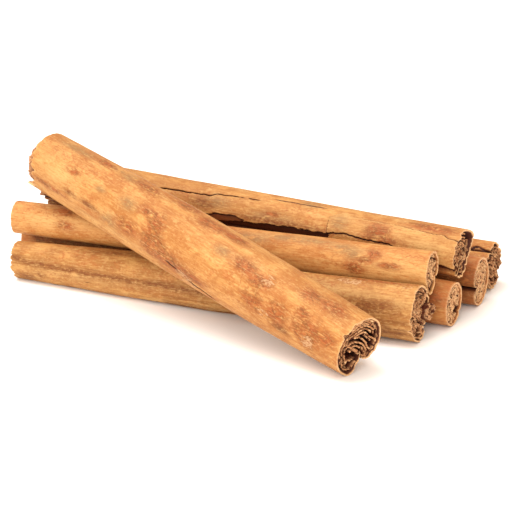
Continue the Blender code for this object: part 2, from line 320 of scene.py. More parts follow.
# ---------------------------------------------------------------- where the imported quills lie

class Lie:
    """A packed quill's axis and ends, and how far its bark stands off the axis."""

    STATIONS = 26
    ANGLES = 120
    CLEAR_OF_SLITS = 6.5 * MM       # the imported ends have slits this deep
    SMOOTH_DEGREES = 6.0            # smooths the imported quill's flat facets
    INSIDE = 0.12 * MM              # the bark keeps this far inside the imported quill
    SHORTER = 0.22 * MM             # and its ends this far

    def __init__(self, node):
        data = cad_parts[node].data
        points = np.array([vert.co for vert in data.vertices])
        self.tree = BVHTree.FromPolygons([Vector(p) for p in points], [p.vertices[:] for p in data.polygons])
        middle, along = self.rough_axis(points)
        reach = (points - middle) @ along
        quarter = (reach.max() - reach.min()) * 0.3
        near, far = (self.slice_centre(middle + along * step, along) for step in (-quarter, quarter))
        self.along = (far - near).normalized()
        self.side = Vector((0, 0, 1)).cross(self.along).normalized()
        self.up = self.along.cross(self.side)
        reach = (points - np.array(near)) @ np.array(self.along)
        self.start = near + self.along * float(reach.min() + self.SHORTER)
        self.length = float(reach.max() - reach.min() - 2 * self.SHORTER)
        self.radii = self.measure_radii() - self.INSIDE

    @staticmethod
    def rough_axis(points):
        """Middle and direction of a quill from the points between its slit ends."""
        centred = points - points.mean(axis=0)
        direction = np.linalg.svd(centred, full_matrices=False)[2][0]
        reach = centred @ direction
        inner = points[np.abs(reach) < 0.42 * (reach.max() - reach.min())]
        direction = np.linalg.svd(inner - inner.mean(axis=0), full_matrices=False)[2][0]
        if direction[0] < 0:
            direction = -direction
        return inner.mean(axis=0), direction

    def slice_centre(self, point, along):
        """Middle of the section through a point inside the quill."""
        centre = Vector(point)
        along = Vector(along)
        side = Vector((0, 0, 1)).cross(along).normalized()
        for _ in range(3):
            for way in (side, along.cross(side)):
                ahead = self.tree.ray_cast(centre, way)[0]
                behind = self.tree.ray_cast(centre, -way)[0]
                centre += way * ((ahead + behind) / 2 - centre).dot(way)
        return centre

    def measure_radii(self):
        """Distance from the axis to the bark, one row a station and one column an angle."""
        self.stations = np.linspace(self.CLEAR_OF_SLITS, self.length - self.CLEAR_OF_SLITS, self.STATIONS)
        rows = []
        for station in self.stations:
            centre = self.start + self.along * float(station)
            row = []
            for step in range(self.ANGLES):
                way = self.way(math.tau * step / self.ANGLES)
                hit = self.tree.ray_cast(centre + way * 0.03, -way)[0]
                row.append((hit - centre).dot(way))
            rows.append(row)
        rows = np.array(rows)
        step = 360 / self.ANGLES
        span = int(3 * self.SMOOTH_DEGREES / step)
        weights = np.exp(-0.5 * (np.arange(-span, span + 1) * step / self.SMOOTH_DEGREES) ** 2)
        weights /= weights.sum()
        return sum(w * np.roll(rows, k - span, axis=1) for k, w in enumerate(weights))

    def way(self, angle):
        """Direction off the axis at an angle."""
        return self.side * math.cos(angle) + self.up * math.sin(angle)

    def radius(self, station, angle):
        """Radius at arrays of stations and angles, read between the measured ones."""
        low, high = self.stations[0], self.stations[-1]
        at = (np.asarray(station) - low) / (high - low) * (self.STATIONS - 1)
        row = np.clip(np.floor(at).astype(int), 0, self.STATIONS - 2)
        part = at - row
        turn = np.mod(angle, math.tau) / math.tau * self.ANGLES
        column = np.floor(turn).astype(int)
        over = turn - column
        column %= self.ANGLES
        after = (column + 1) % self.ANGLES
        first = self.radii[row, column] * (1 - over) + self.radii[row, after] * over
        second = self.radii[row + 1, column] * (1 - over) + self.radii[row + 1, after] * over
        return first * (1 - part) + second * part

    def place(self, station, across, upward):
        """World points from arrays of stations and section coordinates, as one array of x, y, z."""
        parts = [np.multiply.outer(np.asarray(v), np.array(w))
                 for v, w in ((station, self.along), (across, self.side), (upward, self.up))]
        return np.array(self.start) + parts[0] + parts[1] + parts[2]


# ---------------------------------------------------------------- shape and stains of one quill's bark

class Bark:
    """Relief, painted shade and stains over a grid of stations and angles; some of the stains are painted light
    or shade.
    """

    EDGE = 0.16 * MM            # how steep the edge of lifted bark is
    SEAM_WIDTH = 0.5 * MM
    SCAB_RISE = 0.08 * MM
    RECESS_SHADE = 0.2                # how much painted shade darkens bark sunk below the outer bark, for each mm
    SWAY = 0.3 * MM             # how far a torn edge wanders
    STREAK_SEED = 70

    def __init__(self, roll, lie, station, angle):
        self.roll, self.lie, self.station, self.angle = roll, lie, station, angle
        self.share = station / lie.length
        self.radius = lie.radius(station, angle)
        self.relief = np.zeros_like(station)
        self.dark = np.zeros_like(station)
        self.stains = {kind: np.zeros_like(station) for kind in STAIN_KINDS}
        self.bend()
        self.lift_flaps()
        self.cut_seam()
        self.open_cracks()
        self.stain()
        self.relief += self.stains["scab"] * self.SCAB_RISE

    def off_line(self, places, seed, sway):
        """Distance round the bark from a line of (share, angle), and how far inside its ends, in metres."""
        shares, angles = np.array(places, dtype=float).T[:2]
        line = np.radians(np.interp(self.share[:, 0], shares, angles))[:, None]
        station = self.station[:, :1]
        ragged = wander(station / (2.6 * MM), seed) * sway
        ragged = ragged + wander(station / (0.7 * MM), seed + 31) * sway * 0.4
        off = turn_between(self.angle, line) * self.radius - ragged
        inside = np.minimum(self.share - shares[0], shares[-1] - self.share) * self.lie.length
        return off, inside

    def bend(self):
        """Long shallow hollows."""
        for share, facing, long, wide, depth in self.roll.dents:
            off = (self.station - share * self.lie.length) / (long * MM)
            turn = turn_between(self.angle, math.radians(facing)) / math.radians(wide)
            self.relief -= np.exp(-off ** 2 - turn ** 2) * depth * MM

    def lift_flaps(self):
        """Loose bark that stands up with a torn edge, and places where it has gone, with painted highlight and
        shadow at raised edges and painted shade on sunk bark.
        """
        for number, (rise, places) in enumerate(self.roll.flaps):
            low, inside = self.off_line([(s, a) for s, a, _ in places], number + 3, self.SWAY)
            high, _ = self.off_line([(s, b) for s, _, b in places], number + 9, self.SWAY)
            within = np.minimum(np.minimum(low, -high), inside)
            region = smooth_step(within / self.EDGE + 0.5)
            self.relief += region * rise * MM
            if rise > 0:
                # painted highlight along the top of the raised edge, which faces the light from above
                painted_highlight_lip = np.exp(-((within - 0.2 * MM) / (0.22 * MM)) ** 2)
                torn = np.where(inside < np.minimum(low, -high), 0.3, np.where(-high < low, 1.0, 0.4))
                # painted shadow in the trench just beside the raised edge
                under = np.exp(-((within + 0.16 * MM) / (0.16 * MM)) ** 2) * torn
                self.relief -= under * 0.3 * MM
                self.dark = np.maximum(self.dark, under)
                self.stains["pale"] = np.maximum(self.stains["pale"], np.maximum(painted_highlight_lip, region * 0.35))
            else:
                # painted shade under the edge of the outer bark, and more painted shade the deeper the bark is
                # sunk
                shade = np.exp(-np.maximum(low, 0) / (0.5 * MM)) * region
                recess_shade = region * min(1.0, -rise * self.RECESS_SHADE)
                self.dark = np.maximum(self.dark, np.maximum(shade * min(0.9, -rise * 1.5), recess_shade))
                self.stains["inner"] = np.maximum(self.stains["inner"], region * min(1.0, -rise))

    def cut_seam(self):
        """The line where the two rolled edges meet, down the groove, with painted shade along it."""
        sideways = wander(self.station[:, :1] / (14 * MM), 1) * 0.5 * MM
        off = turn_between(self.angle, self.roll.groove) * self.radius - sideways
        gap = np.exp(-(off / self.SEAM_WIDTH) ** 2)
        self.relief -= gap * self.roll.seam * MM
        # painted shade in the groove, darker the deeper the groove is
        self.dark = np.maximum(self.dark, gap * min(1.0, 0.4 + self.roll.seam * 0.4))

    def open_cracks(self):
        """Splits in the bark, which narrow and fade along their length, with painted shade inside them."""
        for number, (width, depth, places) in enumerate(self.roll.cracks):
            off, inside = self.off_line(places, number + 40, 0.22 * MM)
            uneven = smooth_step(wander(self.station[:, :1] / (3.5 * MM), number) * 1.2 + 1.1)
            fade = smooth_step(inside / (3 * MM)) * uneven
            split = np.exp(-(off / (width * MM)) ** 2) * fade
            self.relief -= split * depth * MM
            # painted shade inside the split
            self.dark = np.maximum(self.dark, np.minimum(split * (0.7 + depth), 1.0))

    def stain(self):
        """Blotches and streaks."""
        for kind, marks in self.roll.stains.items():
            for mark in marks:
                shape = self.spot(*mark) if len(mark) == 4 else self.streak(*mark)
                self.stains[kind] = np.maximum(self.stains[kind], shape)

    def spot(self, share, facing, long, wide):
        """Soft oval round a place."""
        off = (self.station - share * self.lie.length) / (long * MM)
        turn = turn_between(self.angle, math.radians(facing)) * self.radius / (wide * MM)
        return np.exp(-(off ** 2 + turn ** 2) ** 1.2 * 0.8)

    def streak(self, wide, places):
        """Soft line through places."""
        off, inside = self.off_line(places, self.STREAK_SEED, self.SWAY)
        return np.exp(-(off / (wide * MM)) ** 2) * smooth_step(inside / (2.5 * MM) + 0.5)


def rim_line(roll, lie, end, angle):
    """Stations of the cut rim at an end, uneven and nicked."""
    seed = 11.0 + 12.0 * end + lie.length * 100
    rough = np.array([noise.fractal(Vector((math.cos(a) * 5, math.sin(a) * 5, seed)), 0.8, 2.3, 5)
                      for a in angle])
    inward = np.maximum(0.0, rough + 0.25) * roll.ragged * MM
    for facing, half, depth in (roll.right_nicks if end else roll.left_nicks):
        turn = np.abs(turn_between(angle, math.radians(facing))) / math.radians(half)
        inward += np.clip(1.15 - turn, 0, 1) ** 1.3 * depth * MM * (1 + 0.5 * rough)
    return (lie.length - inward, rough) if end else (inward, rough)


WALL = 0.5 * MM             # bark's thickness at the cut rim
RIM_LIGHT = 0.35            # how light the bark is right at its rim
RIM_LIGHT_WIDTH = 0.25 * MM
# rows inside the rim: share of the way in, share narrower, how light as a cut, how dark with painted shade
INNER_ROWS = ((0.04, 0.0, 0.5, 0.3), (0.1, 0.02, 0.0, 0.6), (0.3, 0.06, 0.0, 0.85), (0.7, 0.08, 0.0, 1.0),
              (1.0, 0.12, 0.0, 1.0))


def bark_mesh(roll, lie):
    """Closed grid mesh of the bark, before its fine relief, with the fields that its material reads.

    The grid runs from the solid behind the left end's layers, out along the inside of the bark, over the rim,
    along the outside, and in again at the right end.
    """
    columns = roll.columns
    angle = np.linspace(0, math.tau, columns, endpoint=False)
    rims = [rim_line(roll, lie, end, angle) for end in (0, 1)]
    station = rims[0][0] + (rims[1][0] - rims[0][0]) * np.linspace(0, 1, roll.rows)[:, None]
    wide = np.broadcast_to(angle, station.shape)
    bark = Bark(roll, lie, station, wide)
    skin = bark.radius + bark.relief

    insides = []
    for end, inward in ((0, 1), (1, -1)):
        rim, rough = rims[end]
        outside = skin[-1 if end else 0]
        inner = np.maximum(outside - WALL * (1 + 0.5 * rough), 0.2 * outside)
        floor_line = np.median(rim) + inward * roll.recess * MM
        depth = np.maximum((floor_line - rim) * inward, 0.5 * MM)
        rows = [(rim + inward * 0.02 * MM, (inner + outside) / 2, 1.0, 0.0)]
        # painted shade inside the ends, less of it in the left end where the layers stand out
        dark = 1.0 if end else 1 - 0.6 * min(1.0, roll.stubs[0])
        rows += [(rim + inward * depth * down, inner * (1 - narrow), cut,
                  gap * dark * (1 - roll.face ** 2 * (1 - down)))
                 for down, narrow, cut, gap in INNER_ROWS]
        # the deepest row is all painted shade
        rows.append((rim + inward * depth, inner * 0.45, 0.0, 1.0))
        insides.append(rows)
    left, right = list(reversed(insides[0])), insides[1]
    stations = np.array([r[0] for r in left] + list(station) + [r[0] for r in right])
    radii = np.array([r[1] for r in left] + list(skin) + [r[1] for r in right])
    ends = len(left), len(right)

    across, upward = radii * np.cos(angle), radii * np.sin(angle)
    grid = lie.place(stations, across, upward).reshape(-1, 3)
    poles = [lie.place(np.array([stations[row].mean()]), np.array([0.0]), np.array([0.0])) for row in (0, -1)]
    rows = len(stations)
    index = np.arange(rows * columns).reshape(rows, columns)
    ahead = np.roll(index, -1, axis=1)
    quads = np.stack([index[:-1], index[1:], ahead[1:], ahead[:-1]], axis=-1).reshape(-1, 4)
    faces = quads.tolist()
    first_pole = rows * columns
    faces += [(int(index[0, j]), int(ahead[0, j]), first_pole) for j in range(columns)]
    faces += [(int(ahead[-1, j]), int(index[-1, j]), first_pole + 1) for j in range(columns)]
    made = mesh_object(roll.node + "_bark", np.concatenate([grid, *poles]).tolist(), faces)

    def whole(values, inner):
        """A field of the outside, with its values on the rows inside both ends."""
        sides = [np.repeat(np.array(side)[:, None], columns, axis=1) for side in inner]
        return np.concatenate([sides[0], values, sides[1]])

    def keep(name, values, inner):
        """Store a field of the whole grid, and of the poles."""
        grid_field = whole(values, inner)
        poles_field = [grid_field[0, 0], grid_field[-1, 0]]
        store(made.data, name, "FLOAT", np.concatenate([grid_field.ravel(), poles_field]))

    from_rim = np.minimum(station - station[0], station[-1] - station)
    rim_fade = np.maximum(0.0, 1 - from_rim / RIM_LIGHT_WIDTH) * RIM_LIGHT
    keep("cut", rim_fade, [[r[2] for r in rows] for rows in (left, right)])
    keep("gap", bark.dark, [[r[3] for r in rows] for rows in (left, right)])
    for kind in STAIN_KINDS:
        keep(kind, bark.stains[kind], [[0.0] * n for n in ends])
    # how freely the fine relief may move each point: less in gaps and hardly at all inside the ends
    free = whole(1 - 0.8 * np.minimum(bark.dark, 1), [[0.1] * n for n in ends])
    local = np.stack([stations, across, upward], axis=-1).reshape(-1, 3) / MM
    pole_places = [[local[0, 0], 0, 0], [local[-1, 0], 0, 0]]
    store(made.data, "grain", "FLOAT_VECTOR", np.concatenate([local, pole_places]))
    outward = np.cos(angle)[:, None] * np.array(lie.side) + np.sin(angle)[:, None] * np.array(lie.up)
    pushed = (outward[None] * free[..., None]).reshape(-1, 3)
    store(made.data, "outward", "FLOAT_VECTOR", np.concatenate([pushed, np.zeros((2, 3))]))
    return made


# ---------------------------------------------------------------- node trees that make meshes

def relief_tree():
    """Geometry Nodes tree that raises fibres and dents on bark and presses it flat on the table."""
    tree = bpy.data.node_groups.new("bark_relief", "GeometryNodeTree")
    tree.interface.new_socket("Bark", in_out="INPUT", socket_type="NodeSocketGeometry")
    for name in ("Fibre Height", "Fibre Width", "Fibre Length", "Dent Height", "Dent Width", "Dent Length",
                 "Seed"):
        tree.interface.new_socket(name, in_out="INPUT", socket_type="NodeSocketFloat")
    tree.interface.new_socket("Material", in_out="INPUT", socket_type="NodeSocketMaterial")
    tree.interface.new_socket("Bark", in_out="OUTPUT", socket_type="NodeSocketGeometry")
    given = add(tree, "NodeGroupInput").outputs
    grain, outward = (add(tree, "GeometryNodeInputNamedAttribute", {"Name": name},
                          data_type="FLOAT_VECTOR").outputs[0] for name in ("grain", "outward"))
    heights = []
    for kind, detail in (("Fibre", 4.0), ("Dent", 3.0)):
        size = add(tree, "ShaderNodeCombineXYZ", {0: given[kind + " Length"], 1: given[kind + " Width"],
                                                  2: given[kind + " Width"]}).outputs[0]
        scaled = add(tree, "ShaderNodeVectorMath", {0: grain, 1: size}, operation="DIVIDE").outputs[0]
        rough = add(tree, "ShaderNodeTexNoise", {"Vector": scaled, "W": given["Seed"], "Scale": 1.0,
                                                 "Detail": detail}, noise_dimensions="4D").outputs[0]
        centred = add(tree, "ShaderNodeMath", {0: rough, 1: 0.5}, operation="SUBTRACT").outputs[0]
        heights.append(add(tree, "ShaderNodeMath", {0: centred, 1: given[kind + " Height"]},
                           operation="MULTIPLY").outputs[0])
    height = add(tree, "ShaderNodeMath", {0: heights[0], 1: heights[1]}, operation="ADD").outputs[0]
    offset = add(tree, "ShaderNodeVectorMath", {0: outward, "Scale": height}, operation="SCALE").outputs[0]
    moved = add(tree, "GeometryNodeSetPosition", {"Geometry": given["Bark"], "Offset": offset}).outputs[0]
    where = add(tree, "GeometryNodeInputPosition").outputs[0]
    table = add(tree, "ShaderNodeVectorMath", {0: where, 1: (-10.0, -10.0, 0.0)},
                operation="MAXIMUM").outputs[0]
    pressed = add(tree, "GeometryNodeSetPosition", {"Geometry": moved, "Position": table}).outputs[0]
    whole = add(tree, "GeometryNodeRealizeInstances", {0: pressed}).outputs[0]
    painted = add(tree, "GeometryNodeSetMaterial",
                  {"Geometry": whole, "Material": given["Material"]}).outputs[0]
    add(tree, "NodeGroupOutput", {0: painted})
    return tree


LAYER_ROWS = 6


def layer_tree():
    """Geometry Nodes tree that sweeps the rolled lines of an end into crumpled sheets, into the quill."""
    tree = bpy.data.node_groups.new("rolled_layers", "GeometryNodeTree")
    tree.interface.new_socket("Lines", in_out="INPUT", socket_type="NodeSocketGeometry")
    for name in ("Depth", "Crumple", "Crumple Size", "Sunk", "Break Size", "Tear", "Tear Size", "Seed"):
        tree.interface.new_socket(name, in_out="INPUT", socket_type="NodeSocketFloat")
    tree.interface.new_socket("Material", in_out="INPUT", socket_type="NodeSocketMaterial")
    tree.interface.new_socket("Sheets", in_out="OUTPUT", socket_type="NodeSocketGeometry")
    given = add(tree, "NodeGroupInput").outputs
    where = add(tree, "GeometryNodeInputPosition").outputs[0]
    heart = add(tree, "GeometryNodeInputNamedAttribute", {"Name": "heart"}, data_type="FLOAT").outputs[0]

    # the sheets break off at different depths, with torn edges
    drops = []
    for size, height, low, high in (("Break Size", "Sunk", 0.40, 0.64), ("Tear Size", "Tear", 0.3, 0.7)):
        broken = add(tree, "ShaderNodeVectorMath", {0: where, 1: given[size]}, operation="DIVIDE").outputs[0]
        steps = add(tree, "ShaderNodeTexNoise", {"Vector": broken, "W": given["Seed"], "Scale": 1.0,
                                                 "Detail": 2.0}, noise_dimensions="4D").outputs[0]
        fall = add(tree, "ShaderNodeMapRange", {"Value": steps, "From Min": low, "From Max": high,
                                                "To Min": 0.0, "To Max": -1.0}).outputs[0]
        drops.append(add(tree, "ShaderNodeMath", {0: fall, 1: given[height]}, operation="MULTIPLY").outputs[0])
    drop = add(tree, "ShaderNodeMath", {0: drops[0], 1: drops[1]}, operation="ADD").outputs[0]
    sink = add(tree, "ShaderNodeCombineXYZ", {2: drop}).outputs[0]
    sheets = add(tree, "GeometryNodeSetPosition", {"Geometry": given["Lines"], "Offset": sink}).outputs[0]

    height = add(tree, "ShaderNodeSeparateXYZ", {0: where}).outputs[2]
    sheets = add(tree, "GeometryNodeStoreNamedAttribute",
                 {"Geometry": sheets, "Name": "crest", "Value": height},
                 data_type="FLOAT", domain="POINT").outputs[0]

    step = add(tree, "ShaderNodeMath", {0: given["Depth"], 1: -1.0 / LAYER_ROWS},
               operation="MULTIPLY").outputs[0]
    down = add(tree, "ShaderNodeCombineXYZ", {2: step}).outputs[0]
    grown = add(tree, "GeometryNodeExtrudeMesh", {"Mesh": sheets, "Offset": down}, mode="EDGES").outputs
    for _ in range(LAYER_ROWS - 1):
        grown = add(tree, "GeometryNodeExtrudeMesh", {"Mesh": grown["Mesh"], "Selection": grown["Top"],
                                                      "Offset": down}, mode="EDGES").outputs

    # the sheets wander more towards the scroll's heart
    sized = add(tree, "ShaderNodeVectorMath", {0: where, 1: given["Crumple Size"]},
                operation="DIVIDE").outputs[0]
    long = add(tree, "ShaderNodeVectorMath", {0: sized, 1: (1.0, 1.0, 0.45)}, operation="MULTIPLY").outputs[0]
    push = add(tree, "ShaderNodeTexNoise", {"Vector": long, "W": given["Seed"], "Scale": 1.0, "Detail": 2.0},
               noise_dimensions="4D").outputs[1]
    centred = add(tree, "ShaderNodeVectorMath", {0: push, 1: (0.5, 0.5, 0.5)}, operation="SUBTRACT").outputs[0]
    flat = add(tree, "ShaderNodeVectorMath", {0: centred, 1: (2.4, 2.4, 0.0)}, operation="MULTIPLY").outputs[0]
    strength = add(tree, "ShaderNodeMath", {0: heart, 1: given["Crumple"]}, operation="MULTIPLY").outputs[0]
    push = add(tree, "ShaderNodeVectorMath", {0: flat, "Scale": strength}, operation="SCALE").outputs[0]
    bent = add(tree, "GeometryNodeSetPosition", {"Geometry": grown["Mesh"], "Offset": push}).outputs[0]
    whole = add(tree, "GeometryNodeRealizeInstances", {0: bent}).outputs[0]
    painted = add(tree, "GeometryNodeSetMaterial",
                  {"Geometry": whole, "Material": given["Material"]}).outputs[0]
    add(tree, "NodeGroupOutput", {0: painted})
    return tree


def run_tree(thing, tree, values, thickness=0.0):
    """Turn the object's mesh into the tree's plain result, thickened into a sheet where asked."""
    made = thing.modifiers.new(tree.name, "NODES")
    made.node_group = tree
    for item in tree.interface.items_tree:
        if item.in_out == "INPUT" and item.name in values:
            made[item.identifier] = values[item.name]
    if thickness:
        wall = thing.modifiers.new("sheet", "SOLIDIFY")
        wall.thickness = thickness
        wall.offset = 0.0
    bpy.context.view_layer.update()
    ready = thing.evaluated_get(bpy.context.evaluated_depsgraph_get())
    data = bpy.data.meshes.new_from_object(ready)
    thing.modifiers.clear()
    old = thing.data
    thing.data = data
    bpy.data.meshes.remove(old)


# ---------------------------------------------------------------- rolled layers in the ends

LINE_STEP = 0.15 * MM
SHEET_HEART = 0.45          # how near the scroll's heart, and so how crumpled, a listed layer counts as
CURL_HEART = 0.6            # and a small roll
SCROLL_COLUMNS = 240


def laid_line(points):
    """Smooth line through given section points, in metres."""
    points = [Vector((*p, 0.0)) * MM for p in points]
    before, after = points[0] * 2 - points[1], points[-1] * 2 - points[-2]
    chain = [before, *points, after]
    line = []
    for p0, p1, p2, p3 in zip(chain, chain[1:], chain[2:], chain[3:]):
        steps = max(2, int((p2 - p1).length / LINE_STEP))
        for k in range(steps):
            t = k / steps
            line.append(0.5 * (2 * p1 + (p2 - p0) * t + (2 * p0 - 5 * p1 + 4 * p2 - p3) * t ** 2
                               + (3 * p1 - p0 - 3 * p2 + p3) * t ** 3))
    return np.array(line + [points[-1]])[:, :2]


def curl_line(across, up, radius, pitch):
    """Spiral of a small roll, in metres."""
    turns = (radius - 0.4) / pitch
    count = int(turns * math.pi * radius * MM / LINE_STEP)
    sweep = np.linspace(0, 1, count) * turns * math.tau
    reach = (radius - pitch * sweep / math.tau) * MM
    return np.stack([across * MM + np.cos(sweep) * reach, up * MM + np.sin(sweep) * reach], axis=1)


def scroll_line(roll, lie, station, turn):
    """Line of one scroll's rolled sheet in an end, as section points, and how near each is to the heart."""
    share = roll.share if turn > 0 else 1 - roll.share
    angle = np.linspace(0, math.tau, SCROLL_COLUMNS, endpoint=False)
    rim = Bark(roll, lie, np.full((1, SCROLL_COLUMNS), station), angle[None, :])
    rim = (rim.radius + rim.relief)[0] - WALL - 0.05 * MM
    whole = float(np.median(rim))
    groove_way = np.array([math.cos(roll.groove), math.sin(roll.groove)])
    past_way = np.array([-groove_way[1], groove_way[0]]) * turn
    middle = whole * share
    heart = past_way * whole * (1 - share) + groove_way * 0.06 * whole
    outline = np.stack([rim * np.cos(angle), rim * np.sin(angle)], axis=1) - heart
    bearing = np.arctan2(outline @ groove_way, outline @ -past_way)
    reach = np.hypot(outline[:, 0], outline[:, 1])
    order = np.argsort(bearing)

    turns = 0.93 * middle / (roll.pitch * MM)
    count = int(turns * math.pi * middle / LINE_STEP)
    sweep = np.linspace(0, 1, count)
    swing = -math.tau * turns * (1 - (1 - sweep) ** 0.5)
    bend = np.mod(swing + math.pi, math.tau) - math.pi
    outer = np.interp(bend, bearing[order], reach[order], period=math.tau)
    toward_middle = np.cos(bend)
    to_middle = np.where(toward_middle > 0.05, middle / np.maximum(toward_middle, 0.05), 1.0)
    blend = 0.12 * MM
    limit = -blend * np.log(np.exp(-outer / blend) + np.exp(-to_middle / blend))
    uneven = wander(np.abs(swing) * 0.8, 5 + turn) * 0.35 * roll.pitch * MM
    world = np.arctan2(np.sin(bend) * groove_way[1] - np.cos(bend) * past_way[1],
                       np.sin(bend) * groove_way[0] - np.cos(bend) * past_way[0])
    hollow_way, hollow_width = roll.hollow
    open_gap = hollow_width * MM * np.clip(np.cos(world - math.radians(hollow_way)), 0, 1) ** 2
    inward = (np.abs(swing) / math.tau * roll.pitch * MM + uneven + open_gap) / middle
    distance = limit * np.maximum(1 - inward, 0.05) - roll.sheet * MM * 0.5
    ways = np.cos(bend)[:, None] * -past_way + np.sin(bend)[:, None] * groove_way
    points = heart + ways * distance[:, None]
    return points, np.clip(0.2 + 1.1 * inward, 0, 1)


def end_lines(roll, lie, end):
    """Mesh of edges for the layers of one end, in the end's own plane with +Z out of the quill."""
    station = lie.length - 1 * MM if end else 1 * MM
    if end and roll.sheets:
        laid = [(laid_line(points), np.full(1, SHEET_HEART), 0.0) for points in roll.sheets]
    else:
        laid = [(*scroll_line(roll, lie, station, turn), 0.0) for turn in (1, -1)]
    if end:
        laid += [(curl_line(across, up, radius, roll.pitch), np.full(1, CURL_HEART), proud)
                 for across, up, radius, proud in roll.curls]
    points, edges, hearts = [], [], []
    for line, near, proud in laid:
        first = len(points)
        points += [(p[0], p[1], proud * MM) for p in line]
        edges += [(first + i, first + i + 1) for i in range(len(line) - 1)]
        hearts += list(np.broadcast_to(near, len(line)))
    lines = mesh_object(f"{roll.node}_lines_{end}", points, [], edges)
    store(lines.data, "heart", "FLOAT", np.array(hearts))
    return lines


def end_matrix(lie, end):
    """Puts an end's plane at the cut, with +Z out of the quill."""
    outward = lie.along if end else -lie.along
    spot = Matrix((lie.side, lie.up, outward)).transposed().to_4x4()
    spot.translation = lie.start + lie.along * (lie.length if end else 0.0)
    return spot


SHARP = math.radians(50)    # edges that bend more than this stay sharp


def finish(piece, material):
    """Shade a piece smooth, give it its material, and hang it on the frame."""
    piece.data.materials.clear()
    piece.data.materials.append(material)
    piece.data.shade_smooth()
    piece.data.set_sharp_from_angle(angle=SHARP)
    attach(piece, BODY)


def make_bark(roll, lie, tree, bark_look, colours):
    """One quill's bark as a finished piece."""
    bark = bark_mesh(roll, lie)
    material = bark_material(roll, colours)
    run_tree(bark, tree, {
        "Fibre Height": bark_look.fibre_height, "Fibre Width": bark_look.fibre_width / MM, "Fibre Length": 16.0,
        "Dent Height": bark_look.dent_height, "Dent Width": 6.0, "Dent Length": 22.0,
        "Seed": float(len(roll.node)), "Material": material})
    bark.data.attributes.remove(bark.data.attributes["outward"])
    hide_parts(roll.node)
    finish(bark, material)


PIT_DEPTH = 2.5 * MM
CREST_SHADE = 0.45          # painted shade on the edges of the shortest layers, which sit deepest in the end
CURL_SHADE = 0.15           # how dark the small curls that stand out are
BEHIND_RIM = 0.12 * MM      # the longest layers end this far behind the bark's rim


def shade_layers(data, layer_look, roll, stub):
    """Store the painted shade on each point of the layers: darker down between them, and on the shorter ones.
    """
    depth = np.zeros(len(data.vertices) * 3)
    data.vertices.foreach_get("co", depth)
    crest = np.zeros(len(data.vertices))
    data.attributes["crest"].data.foreach_get("value", crest)
    # the painted shade comes in more slowly on dense faces and on layers that stand out
    fades = layer_look.shade_depth + 2 * (roll.face ** 4 + stub) * MM
    between = np.clip((crest - depth[2::3]) / fades, 0, 1)
    short = np.clip(-crest / layer_look.crest_depth, 0, 1) * CREST_SHADE
    proud = np.clip(crest / MM, 0, 1) * CURL_SHADE
    store(data, "gap", "FLOAT", np.clip(between + short + proud, 0, 1))


def sink_pits(data, roll):
    """Press holes into the layers of an end, which lies in its own plane, and paint shade into them."""
    count = len(data.vertices)
    spots = np.zeros(count * 3)
    data.vertices.foreach_get("co", spots)
    spots = spots.reshape(-1, 3)
    dark = np.zeros(count)
    data.attributes["gap"].data.foreach_get("value", dark)
    deepest = min(PIT_DEPTH, 0.5 * roll.recess * MM)
    for across, up, wide, tall in roll.pits:
        away = np.hypot((spots[:, 0] / MM - across) / wide, (spots[:, 1] / MM - up) / tall)
        hole = smooth_step((1.3 - away) / 0.5)
        spots[:, 2] -= hole * deepest
        # painted shade fills each hole
        dark = np.maximum(dark, hole)
    data.vertices.foreach_set("co", spots.ravel())
    data.attributes["gap"].data.foreach_set("value", dark.astype(np.float32))


def make_layers(roll, lie, tree, layer_look, colours):
    """The rolled sheets in both ends of one quill as a finished piece."""
    mesh = bmesh.new()
    material = layer_material(roll, colours)
    for end in (0, 1):
        sheets = end_lines(roll, lie, end)
        stub = roll.stubs[end]
        run_tree(sheets, tree, {
            "Depth": (roll.recess + 1 + stub) * MM, "Crumple": roll.crumple * MM,
            "Crumple Size": layer_look.crumple_size, "Sunk": roll.sunk * MM,
            "Break Size": layer_look.break_size, "Tear": layer_look.tear * (1 + stub),
            "Tear Size": layer_look.tear_size, "Seed": float(len(roll.node) * 3 + end),
            "Material": material}, roll.sheet * MM)
        data = sheets.data
        shade_layers(data, layer_look, roll, 0.0 if end else stub)
        if end:
            sink_pits(data, roll)
        data.transform(Matrix.Translation((0, 0, stub * MM - BEHIND_RIM)))
        data.transform(end_matrix(lie, end))
        mesh.from_mesh(data)
        bpy.data.objects.remove(sheets)
    bmesh.ops.recalc_face_normals(mesh, faces=mesh.faces)
    layers = mesh_object(roll.node + "_layers", [], [])
    mesh.to_mesh(layers.data)
    mesh.free()
    finish(layers, material)


# ---------------------------------------------------------------- materials

